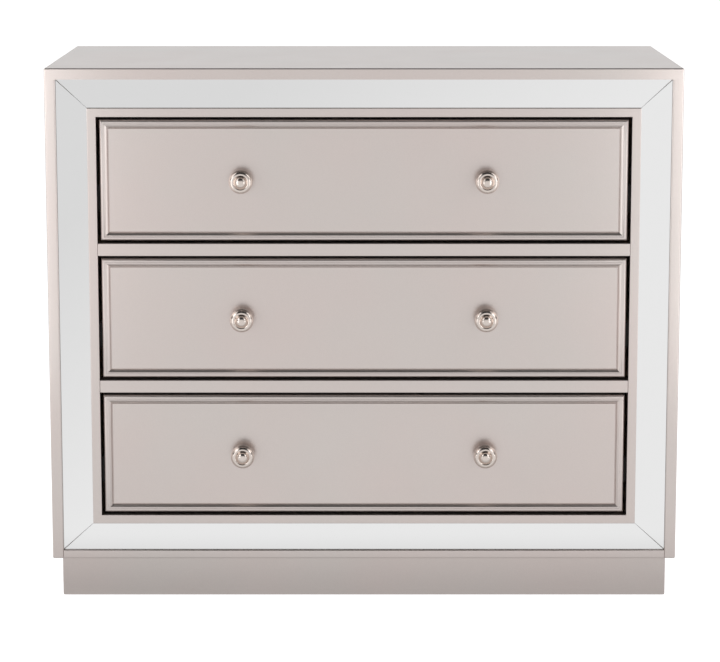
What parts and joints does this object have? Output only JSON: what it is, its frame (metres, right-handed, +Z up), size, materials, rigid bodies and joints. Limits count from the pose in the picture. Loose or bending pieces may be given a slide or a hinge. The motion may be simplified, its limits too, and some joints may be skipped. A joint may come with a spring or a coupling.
{
  "type": "chest of drawers",
  "caption": "Low chest of drawers in champagne-silver lacquer with a mitred mirror frame round its front, round nickel knobs and a recessed plinth.",
  "frame": {"origin": "on the floor under the middle of the whole chest, knobs included", "axes": "+Z up, -Y towards the person who faces the drawers, +X to that person's right"},
  "size_m": [0.85, 0.4268, 0.725],
  "materials": {
    "champagne_lacquer": "satin champagne-silver metallic lacquer on fibreboard",
    "mirror_glass": "silvered glass strip, 4 mm",
    "polished_nickel": "polished nickel plate",
    "zinc_plated_steel": "zinc-plated folded steel",
    "drawer_box_wood": "clear matt lacquer on poplar",
    "back_hardboard": "bare hardboard"
  },
  "bodies": {
    "case": {"back_panel": "back_hardboard", "bottom_panel": "champagne_lacquer", "cabinet_runner_lower_left": "zinc_plated_steel", "cabinet_runner_lower_right": "zinc_plated_steel", "cabinet_runner_middle_left": "zinc_plated_steel", "cabinet_runner_middle_right": "zinc_plated_steel", "cabinet_runner_upper_left": "zinc_plated_steel", "cabinet_runner_upper_right": "zinc_plated_steel", "divider_rail_lower": "champagne_lacquer", "divider_rail_upper": "champagne_lacquer", "frame_rail_bottom": "champagne_lacquer", "frame_rail_top": "champagne_lacquer", "frame_stile_left": "champagne_lacquer", "frame_stile_right": "champagne_lacquer", "mirror_strip_bottom": "mirror_glass", "mirror_strip_left": "mirror_glass", "mirror_strip_right": "mirror_glass", "mirror_strip_top": "mirror_glass", "plinth_back": "champagne_lacquer", "plinth_front": "champagne_lacquer", "plinth_left": "champagne_lacquer", "plinth_right": "champagne_lacquer", "runner_panel_left": "drawer_box_wood", "runner_panel_right": "drawer_box_wood", "side_panel_left": "champagne_lacquer", "side_panel_right": "champagne_lacquer", "top_panel": "champagne_lacquer"},
    "lower_drawer": {"drawer_front_lower": "champagne_lacquer", "drawer_side_lower_left": "drawer_box_wood", "drawer_side_lower_right": "drawer_box_wood", "drawer_back_lower": "drawer_box_wood", "drawer_bottom_lower": "drawer_box_wood", "knob_lower_left": "polished_nickel", "knob_lower_right": "polished_nickel", "knob_screw_lower_left": "zinc_plated_steel", "knob_screw_lower_right": "zinc_plated_steel", "drawer_runner_lower_left": "zinc_plated_steel", "drawer_runner_lower_right": "zinc_plated_steel"},
    "middle_drawer": {"drawer_front_middle": "champagne_lacquer", "drawer_side_middle_left": "drawer_box_wood", "drawer_side_middle_right": "drawer_box_wood", "drawer_back_middle": "drawer_box_wood", "drawer_bottom_middle": "drawer_box_wood", "knob_middle_left": "polished_nickel", "knob_middle_right": "polished_nickel", "knob_screw_middle_left": "zinc_plated_steel", "knob_screw_middle_right": "zinc_plated_steel", "drawer_runner_middle_left": "zinc_plated_steel", "drawer_runner_middle_right": "zinc_plated_steel"},
    "upper_drawer": {"drawer_front_upper": "champagne_lacquer", "drawer_side_upper_left": "drawer_box_wood", "drawer_side_upper_right": "drawer_box_wood", "drawer_back_upper": "drawer_box_wood", "drawer_bottom_upper": "drawer_box_wood", "knob_upper_left": "polished_nickel", "knob_upper_right": "polished_nickel", "knob_screw_upper_left": "zinc_plated_steel", "knob_screw_upper_right": "zinc_plated_steel", "drawer_runner_upper_left": "zinc_plated_steel", "drawer_runner_upper_right": "zinc_plated_steel"}
  },
  "joints": [
    {"name": "lower_drawer_slide", "type": "slide", "parent": "case", "child": "lower_drawer", "axis": [0, -1, 0], "range_m": [0, 0.26]},
    {"name": "middle_drawer_slide", "type": "slide", "parent": "case", "child": "middle_drawer", "axis": [0, -1, 0], "range_m": [0, 0.26]},
    {"name": "upper_drawer_slide", "type": "slide", "parent": "case", "child": "upper_drawer", "axis": [0, -1, 0], "range_m": [0, 0.26]}
  ]
}
